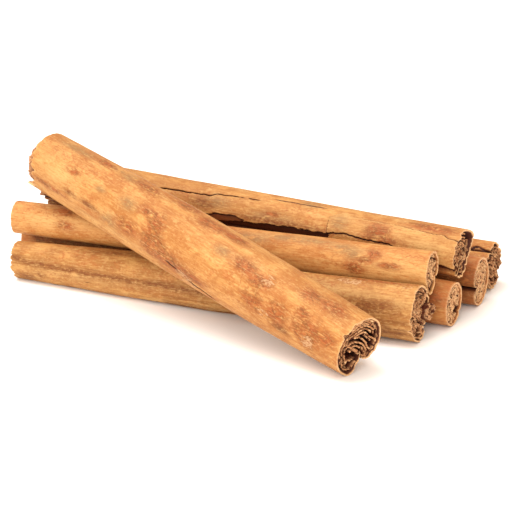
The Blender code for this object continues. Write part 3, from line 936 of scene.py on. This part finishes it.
def bark_material(roll, colours):
    """Scraped and dried inner bark of true cinnamon: matt, with fine lengthwise fibres and rubbed stains."""
    material = bpy.data.materials.new(roll.node + "_scraped_bark")
    material.use_nodes = True
    tree = material.node_tree
    tree.nodes.clear()
    grain = add(tree, "ShaderNodeAttribute", attribute_name="grain").outputs["Vector"]
    seed = len(roll.node) * 1.7

    def pattern(long, wide, detail, number, roughness=0.55, distortion=0.0):
        """Noise from 0 to 1 with patches this many mm long and wide."""
        scaled = add(tree, "ShaderNodeVectorMath", {0: grain, 1: (long, wide, wide)},
                     operation="DIVIDE").outputs[0]
        return add(tree, "ShaderNodeTexNoise",
                   {"Vector": scaled, "W": seed + number, "Scale": 1.0, "Detail": detail,
                    "Roughness": roughness, "Distortion": distortion}, noise_dimensions="4D").outputs[0]

    def between(value, low, high, top=1.0):
        """0 below low, and top above high."""
        return add(tree, "ShaderNodeMapRange",
                   {"Value": value, "From Min": low, "From Max": high, "To Max": top},
                   interpolation_type="SMOOTHSTEP").outputs[0]

    def times(first, second):
        """Product of two numbers."""
        return add(tree, "ShaderNodeMath", {0: first, 1: second}, operation="MULTIPLY").outputs[0]

    def over(amount, under, colour):
        """Colour laid over another by an amount."""
        return add(tree, "ShaderNodeMix", {0: amount, 6: under, 7: colour}, data_type="RGBA").outputs[2]

    def field(name):
        """A field stored on the mesh."""
        return add(tree, "ShaderNodeAttribute", attribute_name=name).outputs["Fac"]

    # Bast fibres are some 0.03 mm wide and too fine to show, so fibre and thread are drawn ten times as coarse.
    # tone, region: broad patches; blotch, wrinkle: texture of stains; rub: places worn light; vein: skin lines.
    tone = pattern(7, 3.6, 4.0, 1, 0.55, 0.5)
    blotch = pattern(3.4, 2.1, 6.0, 2, 0.66, 0.6)
    rub = pattern(4.6, 2.2, 5.0, 3, 0.62, 0.3)
    region = pattern(22, 8, 2.0, 4)
    vein = pattern(4.5, 2.6, 4.0, 5, 0.6, 0.8)
    fibre = pattern(6, 0.34, 3.0, 6)
    streak = pattern(20, 1.1, 3.0, 7)
    speck = pattern(0.8, 0.5, 3.0, 8)
    thread = pattern(2.6, 0.32, 2.0, 9, 0.6)
    wrinkle = pattern(2.6, 1.1, 4.0, 10, 0.62, 1.2)
    from_middle = add(tree, "ShaderNodeMath", {0: vein, 1: 0.5}, operation="SUBTRACT").outputs[0]
    ridge = add(tree, "ShaderNodeMath", {0: from_middle}, operation="ABSOLUTE").outputs[0]
    line = between(ridge, 0.05, 0.01)
    ridge = times(between(ridge, 0.045, 0.0), between(speck, 0.36, 0.56))

    # the whole bark turns darker and redder by the quill's setting, partly its own tone and partly painted
    # shade
    light = mixed(mixed(colours.olive_bark, colours.ruddy_bark, roll.ruddy), colours.rust_and_shade, roll.dark_tone_and_shade * 0.8)
    deep = mixed(mixed(colours.olive_depth, colours.ruddy_depth, roll.ruddy), colours.rust_and_shade, roll.dark_tone_and_shade)
    colour = over(between(tone, 0.38, 0.62, 0.9), light, deep)
    colour = over(between(streak, 0.48, 0.68, 0.65 - 0.3 * roll.ruddy), colour, deep)
    colour = over(times(between(blotch, 0.48, 0.66), between(region, 0.36, 0.6, 0.6)), colour, colours.orange)
    # less rubbed paleness on bark darkened as a whole, which is partly painted shade
    lit = 1 - 0.9 * roll.dark_tone_and_shade
    colour = over(between(rub, 0.52, 0.68, 0.6 * lit), colour, colours.pale)
    # pale marks, among them painted light on downward sides and painted highlights on raised edges
    colour = over(times(field("pale"), between(rub, 0.25, 0.5, 0.8)), colour, colours.pale)
    colour = over(times(ridge, between(region, 0.42, 0.6, 0.5)), colour, colours.rust_and_shade)
    # stains; some rust and umber lines among them are painted shade
    for kind, low, high, top in (("olive", 0.3, 0.52, 1.1), ("rust_and_shade", 0.36, 0.5, 1.2),
                                 ("umber_and_shade", 0.28, 0.55, 1.1)):
        colour = over(times(field(kind), between(blotch, low, high, top)), colour, getattr(colours, kind))
    # dark bands; some of them are painted shade on lower sides
    colour = over(times(field("band"), between(streak, 0.3, 0.6, 0.75)), colour, colours.umber_and_shade)
    colour = over(times(field("rust_and_shade"), line), colour, colours.umber_and_shade)
    colour = over(times(field("rust_and_shade"), between(wrinkle, 0.5, 0.58, 0.7)), colour, colours.umber_and_shade)
    colour = over(times(field("rust_and_shade"), between(wrinkle, 0.46, 0.38, 0.6)), colour, colours.orange)
    colour = over(times(field("umber_and_shade"), between(speck, 0.5, 0.66, 0.55)), colour, colours.umber_dark_and_shade)
    colour = over(between(fibre, 0.48, 0.74, 0.4), colour, deep)
    colour = over(between(thread, 0.5, 0.7, 0.6), colour, deep)
    colour = over(between(thread, 0.48, 0.3, 0.45 * lit), colour, colours.pale)
    colour = over(between(speck, 0.54, 0.7, 0.4), colour, colours.rust_and_shade)
    colour = over(between(speck, 0.46, 0.3, 0.4 * lit), colour, colours.pale)
    colour = over(field("inner"), colour, over(between(fibre, 0.4, 0.65), colours.umber_and_shade, colours.rust_and_shade))
    flake = times(field("scab"), between(wrinkle, 0.4, 0.6, 1.1))
    colour = over(between(flake, 0.08, 0.22, 0.35), colour, colours.umber_and_shade)
    colour = over(times(between(flake, 0.22, 0.36), between(speck, 0.62, 0.44, 0.65)), colour, colours.scab)
    rim = over(between(speck, 0.52, 0.66, 0.6), colours.cut, colours.layer)
    colour = over(field("cut"), colour, rim)
    # painted shade in seams, cracks, beside lifted bark and inside the ends
    colour = over(between(field("gap"), 0.0, 0.5), colour, colours.umber_dark_and_shade)
    colour = over(between(field("gap"), 0.3, 1.0), colour, colours.shadow)

    height = add(tree, "ShaderNodeMath", {0: fibre, 1: blotch}, operation="ADD").outputs[0]
    height = add(tree, "ShaderNodeMath", {0: height, 1: speck}, operation="ADD").outputs[0]
    bump = add(tree, "ShaderNodeBump", {"Strength": 0.8, "Distance": 0.12 * MM, "Height": height}).outputs[0]
    rough = add(tree, "ShaderNodeMapRange", {"Value": streak, "To Min": 0.5, "To Max": 0.72}).outputs[0]
    shader = add(tree, "ShaderNodeBsdfPrincipled", {"Base Color": colour, "Roughness": rough, "Normal": bump,
                                                    "IOR": 1.45, "Specular IOR Level": 0.3})
    add(tree, "ShaderNodeOutputMaterial", {"Surface": shader.outputs[0]})
    return material


def layer_material(roll, colours):
    """Torn inner layers of dried bark: light porous cut edges, browner faces, dry and matt, with painted shade
    between them.
    """
    material = bpy.data.materials.new(roll.node + "_torn_layers")
    material.use_nodes = True
    tree = material.node_tree
    tree.nodes.clear()
    where = add(tree, "ShaderNodeTexCoord").outputs["Object"]
    colour = mixed(colours.layer, colours.cut, roll.face)
    dense = roll.face ** 3
    patches = ((1.6, 0.0, 0.46, 0.66, 0.7, mixed(colours.umber_and_shade, colours.layer, roll.face)),
               (0.45, 4.0, 0.5, 0.64, 0.75, mixed(colours.umber_dark_and_shade, colours.layer, roll.face * 0.6)),
               (1.0, 8.0, 0.55, 0.63, 0.9 - 0.5 * dense, colours.cut),
               # patches of the painted shade colour stand for small holes between the layers
               (1.0, 12.0, 0.55 + 0.03 * dense, 0.62 + 0.01 * dense, 0.95, colours.gap))
    for size, number, low, high, top, patch in patches:
        scaled = add(tree, "ShaderNodeVectorMath", {0: where, "Scale": 1 / (size * MM)},
                     operation="SCALE").outputs[0]
        rough = add(tree, "ShaderNodeTexNoise", {"Vector": scaled, "W": number + len(roll.node), "Scale": 1.0,
                                                 "Detail": 2.0}, noise_dimensions="4D").outputs[0]
        amount = add(tree, "ShaderNodeMapRange", {"Value": rough, "From Min": low, "From Max": high,
                                                  "To Max": top}).outputs[0]
        colour = add(tree, "ShaderNodeMix", {0: amount, 6: colour, 7: patch}, data_type="RGBA").outputs[2]
    # painted shade down between the layers, in the holes and inside the ends
    depth = add(tree, "ShaderNodeAttribute", attribute_name="gap").outputs["Fac"]
    colour = add(tree, "ShaderNodeMix", {0: depth, 6: colour, 7: colours.gap}, data_type="RGBA").outputs[2]
    bump = add(tree, "ShaderNodeBump", {"Strength": 0.7, "Distance": 0.1 * MM, "Height": rough}).outputs[0]
    shader = add(tree, "ShaderNodeBsdfPrincipled", {"Base Color": colour, "Roughness": 0.85, "Normal": bump,
                                                    "Specular IOR Level": 0.2})
    add(tree, "ShaderNodeOutputMaterial", {"Surface": shader.outputs[0]})
    return material


def floor_material():
    """White card under the stack, matt."""
    material = bpy.data.materials.new("white_card")
    material.use_nodes = True
    shader = material.node_tree.nodes["Principled BSDF"]
    shader.inputs["Base Color"].default_value = linear("#F7F7F7")
    shader.inputs["Roughness"].default_value = 0.9
    shader.inputs["Specular IOR Level"].default_value = 0.1
    return material


# ---------------------------------------------------------------- stage

def make_camera(stage):
    """Camera to the front right of the stack, a little above it."""
    data = bpy.data.cameras.new("camera")
    data.lens = stage.lens
    data.sensor_width = 36.0
    data.clip_start = 0.01
    camera = bpy.data.objects.new("camera", data)
    bpy.context.scene.collection.objects.link(camera)
    turn, rise = stage.turn, stage.rise
    away = Vector((math.sin(turn) * math.cos(rise), -math.cos(turn) * math.cos(rise), math.sin(rise)))
    camera.location = Vector(stage.aim) + away * stage.distance
    camera.rotation_euler = away.to_track_quat("Z", "Y").to_euler()
    bpy.context.scene.camera = camera


def make_light(name, spot, size, power):
    """Square soft box at a spot, facing the stack."""
    data = bpy.data.lights.new(name, "AREA")
    data.size = size
    data.energy = power
    lamp = bpy.data.objects.new(name, data)
    bpy.context.scene.collection.objects.link(lamp)
    lamp.location = spot
    lamp.rotation_euler = Vector(spot).to_track_quat("Z", "Y").to_euler()


def make_surround(strength, tint):
    """Even warm light from all round."""
    world = bpy.data.worlds.new("warm_surround")
    world.use_nodes = True
    sky = world.node_tree.nodes["Background"]
    sky.inputs["Color"].default_value = tint
    sky.inputs["Strength"].default_value = strength
    bpy.context.scene.world = world


# ---------------------------------------------------------------- add-on

def colour_setting(name, description, hexcode):
    """Colour property with its default given as an sRGB hex value."""
    return bpy.props.FloatVectorProperty(name=name, description=description, subtype="COLOR", size=4,
                                         min=0.0, max=1.0, default=linear(hexcode))


def length_setting(name, description, default):
    """Length property in metres."""
    return bpy.props.FloatProperty(name=name, description=description, default=default, unit="LENGTH",
                                   precision=5)


class CinnamonBark(bpy.types.PropertyGroup):
    """Sizes of the bark's relief."""

    fibre_height: length_setting("Fibre height", "Height of the lengthwise fibres", 0.13 * MM)
    fibre_width: length_setting("Fibre width", "Width of the lengthwise fibres", 1.1 * MM)
    dent_height: length_setting("Dent height", "Height of the soft dents", 0.6 * MM)


class CinnamonLayers(bpy.types.PropertyGroup):
    """Sizes of the rolled layers in the cut ends."""

    crumple_size: length_setting("Crumple size", "How long a wave of a crumpled layer is", 1.9 * MM)
    break_size: length_setting("Break size", "How wide a piece of a layer breaks off", 2.4 * MM)
    tear: length_setting("Tear", "Height of the torn edge's teeth", 0.35 * MM)
    tear_size: length_setting("Tear size", "Width of the torn edge's teeth", 0.7 * MM)
    shade_depth: length_setting("Shade depth", "Depth at which the gaps turn dark", 0.9 * MM)
    crest_depth: length_setting("Crest depth", "How short the darkest layers are", 2.2 * MM)


class CinnamonColours(bpy.types.PropertyGroup):
    """Colours of bark and layers."""

    olive_bark: colour_setting("Olive bark", "Light tone of the yellower quills", "#B8894D")
    olive_depth: colour_setting("Olive depth", "Dark tone of the yellower quills", "#966532")
    ruddy_bark: colour_setting("Ruddy bark", "Light tone of the redder quills", "#C38A4C")
    ruddy_depth: colour_setting("Ruddy depth", "Dark tone of the redder quills", "#A8662E")
    orange: colour_setting("Orange", "Warm blotches", "#AB6430")
    # also painted light on sides that face down, and painted highlight along raised bark edges
    pale: colour_setting("Pale", "Rubbed light places", "#C59B60")
    # also painted shade on a shaded side, and mixed into the bark of quills darkened partly with painted shade
    rust_and_shade: colour_setting("Rust", "Reddish stains", "#8E4820")
    olive: colour_setting("Olive", "Grey-green stains", "#8F6A40")
    # also painted shade in the gap between quills, under an overhang and on a shaded side
    umber_and_shade: colour_setting("Umber", "Brown stains", "#74441D")
    # dark specks, and also the first step of the painted shade in cracks, seams, under lifted bark and inside
    # the ends
    umber_dark_and_shade: colour_setting("Dark umber", "Dark specks, and the bark inside cracks", "#4D220D")
    scab: colour_setting("Scab", "Bits of pale outer bark", "#C29A70")
    cut: colour_setting("Cut", "Freshly cut bark", "#DFB382")
    layer: colour_setting("Layer", "Rolled layers", "#AC6B40")
    # colour of the painted shade between the layers and in the holes of the ends
    gap: colour_setting("Gap", "Between the layers", "#441505")
    shadow: colour_setting("Shadow", "Gaps and cracks", "#2A0B02")


class CinnamonStage(bpy.types.PropertyGroup):
    """Camera, lights and floor."""

    lens: bpy.props.FloatProperty(name="Lens", description="Focal length in mm", default=150.0)
    turn: bpy.props.FloatProperty(name="Turn", description="How far the camera stands round to the right",
                                  default=math.radians(24.92), subtype="ANGLE")
    rise: bpy.props.FloatProperty(name="Rise", description="How high the camera stands",
                                  default=math.radians(18.83), subtype="ANGLE")
    distance: length_setting("Distance", "From the camera to the point it looks at", 0.6031)
    aim: bpy.props.FloatVectorProperty(name="Aim", description="Point that the camera looks at",
                                       default=(-0.00024, 0.0193, 0.0063), subtype="XYZ")
    floor_size: length_setting("Floor size", "Side of the floor", 4.0)
    surround: bpy.props.FloatProperty(name="Surround", description="Strength of the light from all round",
                                      default=1.0)
    surround_tint: colour_setting("Surround tint", "Colour of the light from all round", "#FFECD8")
    key: bpy.props.FloatProperty(name="Key light", description="Power of the soft box above", default=8.0)
    fill: bpy.props.FloatProperty(name="Fill light", description="Power of the soft box in front", default=6.6)


LIES = {}


def lie_of(roll):
    """Where a quill lies, measured once; nothing can be made without its packed quill."""
    if roll.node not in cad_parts:
        raise RuntimeError(f"the frame has no quill named {roll.node}")
    if roll.node not in LIES:
        LIES[roll.node] = Lie(roll.node)
    return LIES[roll.node]


class CINNAMON_OT_bark(bpy.types.Operator):
    """Make the bark of every quill"""

    bl_idname = "cinnamon.bark"
    bl_label = "Bark"

    def execute(self, context):
        tree = relief_tree()
        for roll in ROLLS:
            make_bark(roll, lie_of(roll), tree, context.scene.cinnamon_bark, context.scene.cinnamon_colours)
        return {"FINISHED"}


class CINNAMON_OT_layers(bpy.types.Operator):
    """Make the rolled layers in the ends of every quill"""

    bl_idname = "cinnamon.layers"
    bl_label = "Rolled layers"

    def execute(self, context):
        tree = layer_tree()
        for roll in ROLLS:
            make_layers(roll, lie_of(roll), tree, context.scene.cinnamon_layers, context.scene.cinnamon_colours)
        return {"FINISHED"}


class CINNAMON_OT_stage(bpy.types.Operator):
    """Make the floor, lights and camera"""

    bl_idname = "cinnamon.stage"
    bl_label = "Stage"

    def execute(self, context):
        stage = context.scene.cinnamon_stage
        half = stage.floor_size / 2
        floor = mesh_object("floor", [(-half, -half, 0), (half, -half, 0), (half, half, 0), (-half, half, 0)],
                            [(0, 1, 2, 3)])
        floor.data.materials.append(floor_material())
        make_surround(stage.surround, stage.surround_tint)
        make_light("key", (-0.25, -0.1, 0.9), 0.7, stage.key)
        make_light("fill", (0.2, -0.8, 0.35), 0.7, stage.fill)
        make_camera(stage)
        context.scene.view_settings.view_transform = "Standard"
        return {"FINISHED"}


class CINNAMON_PT_panel(bpy.types.Panel):
    """Settings and buttons for the stack"""

    bl_label = "Cinnamon stack"
    bl_idname = "CINNAMON_PT_panel"
    bl_space_type = "VIEW_3D"
    bl_region_type = "UI"
    bl_category = "Cinnamon"

    def draw(self, context):
        for name, group in SETTINGS.items():
            for key in group.__annotations__:
                self.layout.prop(getattr(context.scene, name), key)
        for step in STEPS:
            self.layout.operator("cinnamon." + step)


STEPS = ("bark", "layers", "stage")
SETTINGS = {"cinnamon_bark": CinnamonBark, "cinnamon_layers": CinnamonLayers,
            "cinnamon_colours": CinnamonColours, "cinnamon_stage": CinnamonStage}
CLASSES = (*SETTINGS.values(), CINNAMON_OT_bark, CINNAMON_OT_layers, CINNAMON_OT_stage, CINNAMON_PT_panel)


def register():
    """Register the classes and their settings."""
    for cls in CLASSES:
        bpy.utils.register_class(cls)
    for name, group in SETTINGS.items():
        setattr(bpy.types.Scene, name, bpy.props.PointerProperty(type=group))


def unregister():
    """Take the classes and their settings away."""
    for name in SETTINGS:
        delattr(bpy.types.Scene, name)
    for cls in reversed(CLASSES):
        bpy.utils.unregister_class(cls)


def main():
    """Make every piece and the stage."""
    register()
    for step in STEPS:
        getattr(bpy.ops.cinnamon, step)()


if __name__ == "__main__":
    main()
